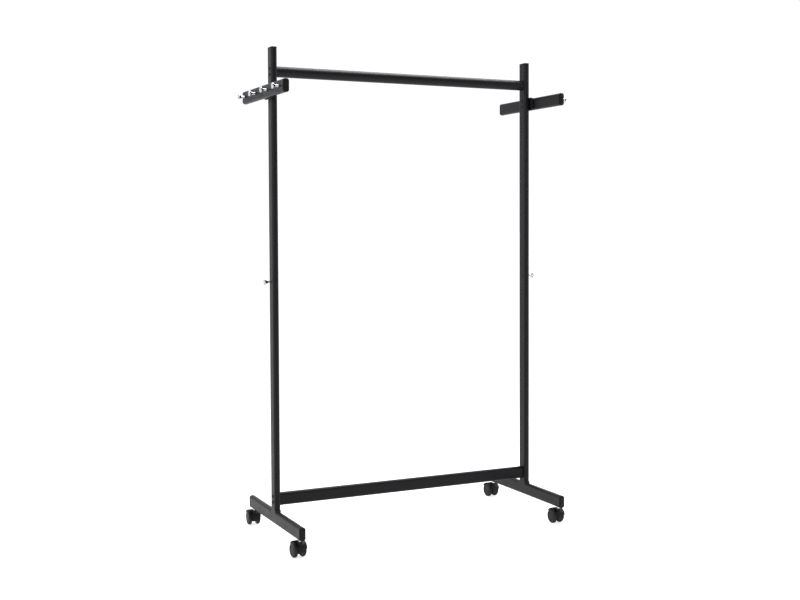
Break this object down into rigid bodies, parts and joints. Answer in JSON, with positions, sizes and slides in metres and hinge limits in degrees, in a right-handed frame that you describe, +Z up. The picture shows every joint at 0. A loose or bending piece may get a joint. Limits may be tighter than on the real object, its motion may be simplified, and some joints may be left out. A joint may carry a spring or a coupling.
{
  "type": "rolling coat rack",
  "caption": "Wheeled coat rack: oval steel posts on T-feet, a round hanging rail, a low cross beam, outside arms with chrome pegs, and twin-wheel castors.",
  "frame": {"origin": "on the floor, midway between the two posts and midway along the feet", "axes": "+Z up, +X from the left post to the right post along the hanging rail, +Y to the back, the way the castors trail"},
  "size_m": [1.1022, 0.524, 1.65],
  "materials": {
    "powder_coated_steel": "satin black powder coat over steel tube",
    "cap_plastic": "moulded black polyethylene, fine matt grain",
    "polished_chrome": "turned, polished and bright chrome plated",
    "black_screw_steel": "black oxide socket button-head screws",
    "rivet_nut_steel": "dark passivated steel",
    "insert_steel": "plain turned steel, hidden inside the tubes",
    "zinc_plated_steel": "bright zinc plated",
    "socket_plastic": "moulded black plastic sleeve",
    "housing_plastic": "black glass-filled nylon, satin",
    "wheel_plastic": "black nylon, satin, faintly turned tread"
  },
  "bodies": {
    "rack_frame": {"arm_nut_plates": "insert_steel", "arm_peg_rivet_nuts": "rivet_nut_steel", "arm_screws": "black_screw_steel", "beam_end_inserts": "insert_steel", "bottom_beam": "powder_coated_steel", "castor_sockets": "socket_plastic", "crossbar_screws": "black_screw_steel", "front_left_castor_stem": "zinc_plated_steel", "front_right_castor_stem": "zinc_plated_steel", "left_arm": "powder_coated_steel", "left_arm_front_cap": "cap_plastic", "left_arm_peg_1": "polished_chrome", "left_arm_peg_2": "polished_chrome", "left_arm_peg_3": "polished_chrome", "left_arm_peg_4": "polished_chrome", "left_arm_rear_cap": "cap_plastic", "left_arm_spacer": "cap_plastic", "left_foot": "powder_coated_steel", "left_foot_front_cap": "cap_plastic", "left_foot_rear_cap": "cap_plastic", "left_post": "powder_coated_steel", "left_post_cap": "cap_plastic", "left_post_peg": "polished_chrome", "post_peg_screws": "black_screw_steel", "rail_end_inserts": "insert_steel", "rear_left_castor_stem": "zinc_plated_steel", "rear_right_castor_stem": "zinc_plated_steel", "right_arm": "powder_coated_steel", "right_arm_front_cap": "cap_plastic", "right_arm_peg_1": "polished_chrome", "right_arm_peg_2": "polished_chrome", "right_arm_peg_3": "polished_chrome", "right_arm_peg_4": "polished_chrome", "right_arm_rear_cap": "cap_plastic", "right_arm_spacer": "cap_plastic", "right_foot": "powder_coated_steel", "right_foot_front_cap": "cap_plastic", "right_foot_rear_cap": "cap_plastic", "right_post": "powder_coated_steel", "right_post_cap": "cap_plastic", "right_post_peg": "polished_chrome", "top_rail": "powder_coated_steel"},
    "front_left_castor": {"front_left_castor_housing": "housing_plastic", "front_left_castor_axle": "zinc_plated_steel"},
    "front_left_left_wheel": {"front_left_castor_left_wheel": "wheel_plastic"},
    "front_left_right_wheel": {"front_left_castor_right_wheel": "wheel_plastic"},
    "front_left_pedal": {"front_left_brake_pedal": "housing_plastic"},
    "front_right_castor": {"front_right_castor_housing": "housing_plastic", "front_right_castor_axle": "zinc_plated_steel"},
    "front_right_left_wheel": {"front_right_castor_left_wheel": "wheel_plastic"},
    "front_right_right_wheel": {"front_right_castor_right_wheel": "wheel_plastic"},
    "front_right_pedal": {"front_right_brake_pedal": "housing_plastic"},
    "rear_left_castor": {"rear_left_castor_housing": "housing_plastic", "rear_left_castor_axle": "zinc_plated_steel"},
    "rear_left_left_wheel": {"rear_left_castor_left_wheel": "wheel_plastic"},
    "rear_left_right_wheel": {"rear_left_castor_right_wheel": "wheel_plastic"},
    "rear_right_castor": {"rear_right_castor_housing": "housing_plastic", "rear_right_castor_axle": "zinc_plated_steel"},
    "rear_right_left_wheel": {"rear_right_castor_left_wheel": "wheel_plastic"},
    "rear_right_right_wheel": {"rear_right_castor_right_wheel": "wheel_plastic"}
  },
  "joints": [
    {"name": "front_left_swivel", "type": "hinge", "parent": "rack_frame", "child": "front_left_castor", "pos_m": [-0.48725, -0.229, 0.0536], "axis": [0, 0, 1], "continuous": true},
    {"name": "front_left_left_wheel_spin", "type": "hinge", "parent": "front_left_castor", "child": "front_left_left_wheel", "pos_m": [-0.48837, -0.21304, 0.025], "axis": [0.9976, 0.0698, 0], "continuous": true},
    {"name": "front_left_right_wheel_spin", "type": "hinge", "parent": "front_left_castor", "child": "front_left_right_wheel", "pos_m": [-0.48837, -0.21304, 0.025], "axis": [0.9976, 0.0698, 0], "continuous": true},
    {"name": "front_left_brake", "type": "hinge", "parent": "front_left_castor", "child": "front_left_pedal", "pos_m": [-0.48911, -0.20247, 0.04196], "axis": [-0.9976, -0.0698, 0], "range_deg": [0, 12]},
    {"name": "front_right_swivel", "type": "hinge", "parent": "rack_frame", "child": "front_right_castor", "pos_m": [0.48725, -0.229, 0.0536], "axis": [0, 0, 1], "continuous": true},
    {"name": "front_right_left_wheel_spin", "type": "hinge", "parent": "front_right_castor", "child": "front_right_left_wheel", "pos_m": [0.48669, -0.21301, 0.025], "axis": [0.9994, 0.0349, 0], "continuous": true},
    {"name": "front_right_right_wheel_spin", "type": "hinge", "parent": "front_right_castor", "child": "front_right_right_wheel", "pos_m": [0.48669, -0.21301, 0.025], "axis": [0.9994, 0.0349, 0], "continuous": true},
    {"name": "front_right_brake", "type": "hinge", "parent": "front_right_castor", "child": "front_right_pedal", "pos_m": [0.48632, -0.20242, 0.04196], "axis": [-0.9994, -0.0349, 0], "range_deg": [0, 12]},
    {"name": "rear_left_swivel", "type": "hinge", "parent": "rack_frame", "child": "rear_left_castor", "pos_m": [-0.48725, 0.229, 0.0536], "axis": [0, 0, 1], "continuous": true},
    {"name": "rear_left_left_wheel_spin", "type": "hinge", "parent": "rear_left_castor", "child": "rear_left_left_wheel", "pos_m": [-0.48641, 0.24498, 0.025], "axis": [0.9986, -0.0523, 0], "continuous": true},
    {"name": "rear_left_right_wheel_spin", "type": "hinge", "parent": "rear_left_castor", "child": "rear_left_right_wheel", "pos_m": [-0.48641, 0.24498, 0.025], "axis": [0.9986, -0.0523, 0], "continuous": true},
    {"name": "rear_right_swivel", "type": "hinge", "parent": "rack_frame", "child": "rear_right_castor", "pos_m": [0.48725, 0.229, 0.0536], "axis": [0, 0, 1], "continuous": true},
    {"name": "rear_right_left_wheel_spin", "type": "hinge", "parent": "rear_right_castor", "child": "rear_right_left_wheel", "pos_m": [0.48586, 0.24494, 0.025], "axis": [0.9962, 0.0872, 0], "continuous": true},
    {"name": "rear_right_right_wheel_spin", "type": "hinge", "parent": "rear_right_castor", "child": "rear_right_right_wheel", "pos_m": [0.48586, 0.24494, 0.025], "axis": [0.9962, 0.0872, 0], "continuous": true}
  ]
}
